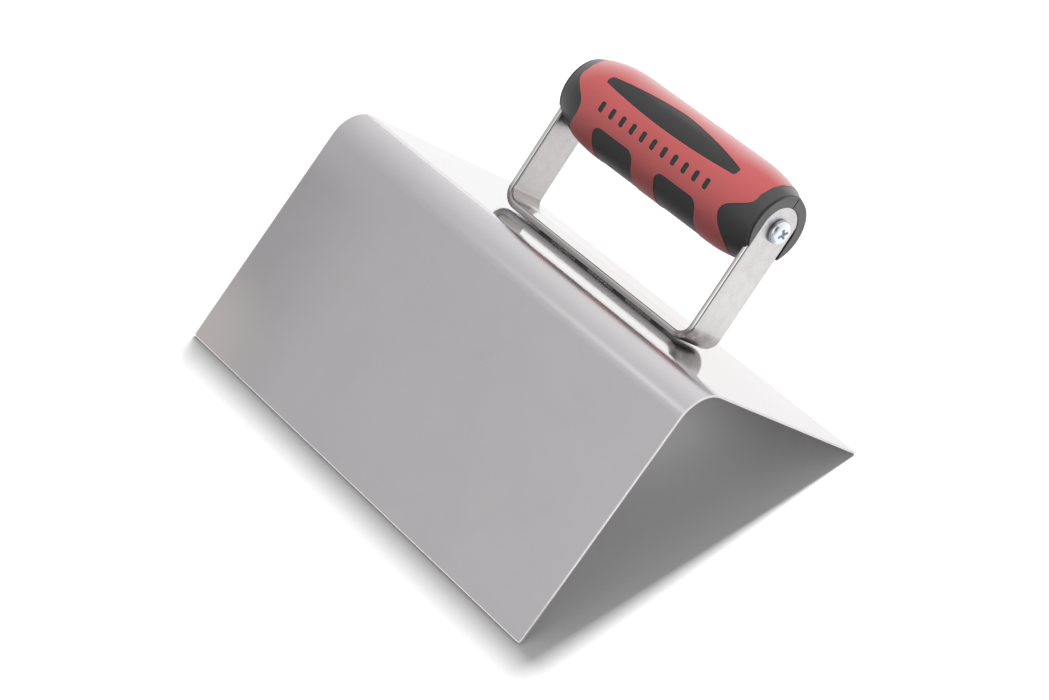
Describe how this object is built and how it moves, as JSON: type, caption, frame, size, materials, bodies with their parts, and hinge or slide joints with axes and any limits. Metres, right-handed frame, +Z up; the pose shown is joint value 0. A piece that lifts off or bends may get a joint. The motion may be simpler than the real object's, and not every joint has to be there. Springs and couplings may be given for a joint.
{
  "type": "outside corner trowel",
  "caption": "Corner trowel: a sheet-steel blade bent once into two wings, with a U-shaped flat-bar bracket and a two-tone moulded handle standing square to one wing.",
  "frame": {"origin": "middle of the line where the two inner working faces would meet if the bend were sharp", "axes": "+X along the ridge, +Z up the bisector of the two wings towards the ridge, +Y towards the wing that carries the handle"},
  "size_m": [0.2032, 0.1709, 0.092],
  "materials": {
    "blade_steel": "fine satin stainless sheet, mirror-like when seen along the surface",
    "bracket_steel": "matt tumbled steel bar",
    "weld_metal": "plain resistance weld",
    "zinc_plate": "bright zinc plate with a faint blue cast",
    "soft_grip": "soft moulded elastomer, satin, dull red",
    "hard_core": "hard moulded plastic, fine matt texture"
  },
  "bodies": {
    "root": {"blade": "blade_steel", "handle_bracket": "bracket_steel", "weld_nuggets": "weld_metal", "handle_screws": "zinc_plate", "captive_nuts": "zinc_plate", "grip_sleeve": "soft_grip", "core_half_ridge_side": "hard_core", "core_half_edge_side": "hard_core"}
  },
  "joints": []
}
